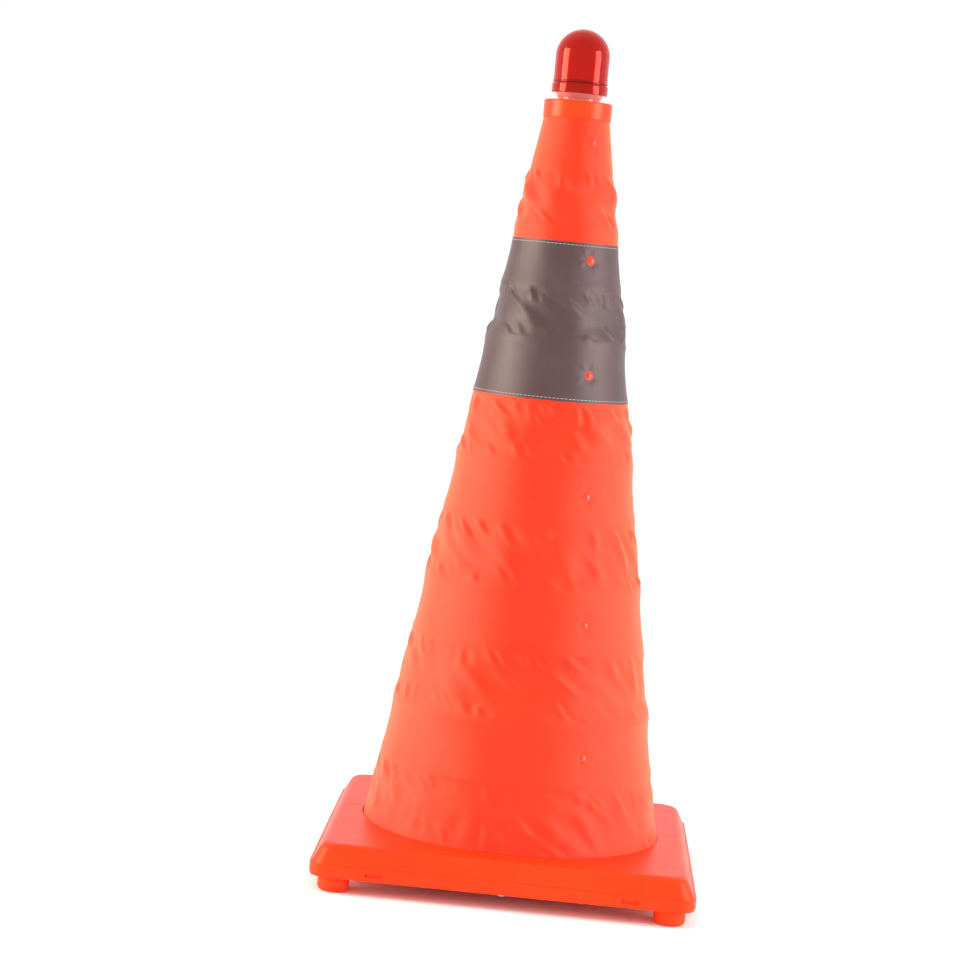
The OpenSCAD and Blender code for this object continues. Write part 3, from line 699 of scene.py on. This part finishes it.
def cone_spring_path(steps=48, turns=9):
    """One flat turn on the tray, a conical rise, then three quarters of a flat turn."""
    low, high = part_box("cone_spring")
    foot, start, end = 0.1055, 0.102, 0.0245
    flat_turns = 1.75
    path = []
    for i in range(turns * steps + 1):
        turn = i / steps
        risen = min(max((turn - 1) / (turns - flat_turns), 0), 1)
        radius = foot + (start - foot) * turn if turn < 1 else start + (end - start) * risen
        angle = math.tau * turn
        z = low[2] + CONE_WIRE_R + (high[2] - low[2] - 2 * CONE_WIRE_R) * risen
        path.append(Vector((radius * math.cos(angle), radius * math.sin(angle), z)))
    return path


big_spring = coil("cone_spring_coil", cone_spring_path(), CONE_WIRE_R, MATERIALS["steel"])
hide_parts("cone_spring")
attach(big_spring, "base")
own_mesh(big_spring)

small_low, small_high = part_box("return_spring")
small_r, small_wire_r, small_turns, small_steps = 0.012, 0.0005, 3, 32
small_points = small_turns * small_steps
small_rise = small_high[2] - small_low[2] - 2 * small_wire_r
small_path = [
    Vector((
        small_r * math.cos(math.tau * i / small_steps),
        small_r * math.sin(math.tau * i / small_steps),
        small_low[2] + small_wire_r + small_rise * i / small_points,
    ))
    for i in range(small_points + 1)
]
small_spring = coil("return_spring_coil", small_path, small_wire_r, MATERIALS["steel"], 8)
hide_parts("return_spring")
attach(small_spring, "top")
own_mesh(small_spring)

# ---------------------------------------------------------------- finishes of the CAD nodes

for item in frame["record"]["subparts"]:
    node = frame["nodes"][item["node"]]
    material = MATERIALS[item["material_slot"]]
    for spot in node.material_slots:
        spot.material = material
    if not node.material_slots:
        node.data.materials.append(material)

# ---------------------------------------------------------------- floor, light and camera

floor_mesh = bpy.data.meshes.new("floor")
reach = 6.0
floor_corners = [(-reach, -reach, 0), (reach, -reach, 0), (reach, reach, 0), (-reach, reach, 0)]
floor_mesh.from_pydata(floor_corners, [], [(0, 1, 2, 3)])
floor = bpy.data.objects.new("floor", floor_mesh)
bpy.context.scene.collection.objects.link(floor)
pale, _, _, shader, _ = node_tree("pale_floor")
shader.inputs["Base Color"].default_value = (0.98, 0.98, 0.98, 1)
shader.inputs["Roughness"].default_value = 0.8
shader.inputs["Specular IOR Level"].default_value = 0.2
floor_mesh.materials.append(pale)

world = bpy.data.worlds.new("studio")
world.use_nodes = True
world.node_tree.nodes["Background"].inputs["Color"].default_value = (1, 1, 1, 1)
world.node_tree.nodes["Background"].inputs["Strength"].default_value = 1.02
bpy.context.scene.world = world


# The side boxes are alike in size, in metres, and both aim at the middle of the cone
BOX_SIZE = (0.7, 1.5)
BOX_TARGET = (0, 0, 0.35)


def soft_box(name, place, power, colour):
    light = bpy.data.lights.new(name, "AREA")
    light.shape = "RECTANGLE"
    light.size, light.size_y = BOX_SIZE
    light.energy = power
    light.color = colour
    lamp = bpy.data.objects.new(name, light)
    lamp.location = place
    lamp.rotation_euler = (Vector(BOX_TARGET) - Vector(place)).to_track_quat("-Z", "Y").to_euler()
    bpy.context.scene.collection.objects.link(lamp)


soft_box("box_left", (-1.35, -0.35, 0.50), 32, (1.0, 0.90, 0.74))
soft_box("box_right", (1.35, -0.45, 0.50), 25, (1.0, 0.92, 0.88))

# The camera's place in metres, its angles in radians, and its lens and sensor in millimetres
CAMERA_PLACE = (0.0232, -2.1966, 0.5151)
YAW, PITCH, ROLL = -0.0341, 0.0869, 0.0929
FOCAL_LENGTH = 99.6
SENSOR_WIDTH = 36

forward = Vector(
    (math.sin(YAW) * math.cos(PITCH), math.cos(YAW) * math.cos(PITCH), -math.sin(PITCH))
)
right = Vector((math.cos(YAW), -math.sin(YAW), 0))
up = right.cross(forward)
right, up = (
    math.cos(ROLL) * right + math.sin(ROLL) * up,
    -math.sin(ROLL) * right + math.cos(ROLL) * up,
)
turned = Matrix((right, up, -forward)).transposed().to_4x4()
camera_data = bpy.data.cameras.new("camera")
camera_data.lens = FOCAL_LENGTH
camera_data.sensor_width = SENSOR_WIDTH
camera_data.clip_end = 50
camera = bpy.data.objects.new("camera", camera_data)
camera.matrix_world = Matrix.Translation(CAMERA_PLACE) @ turned
bpy.context.scene.collection.objects.link(camera)
bpy.context.scene.camera = camera
bpy.context.scene.view_settings.view_transform = "Standard"
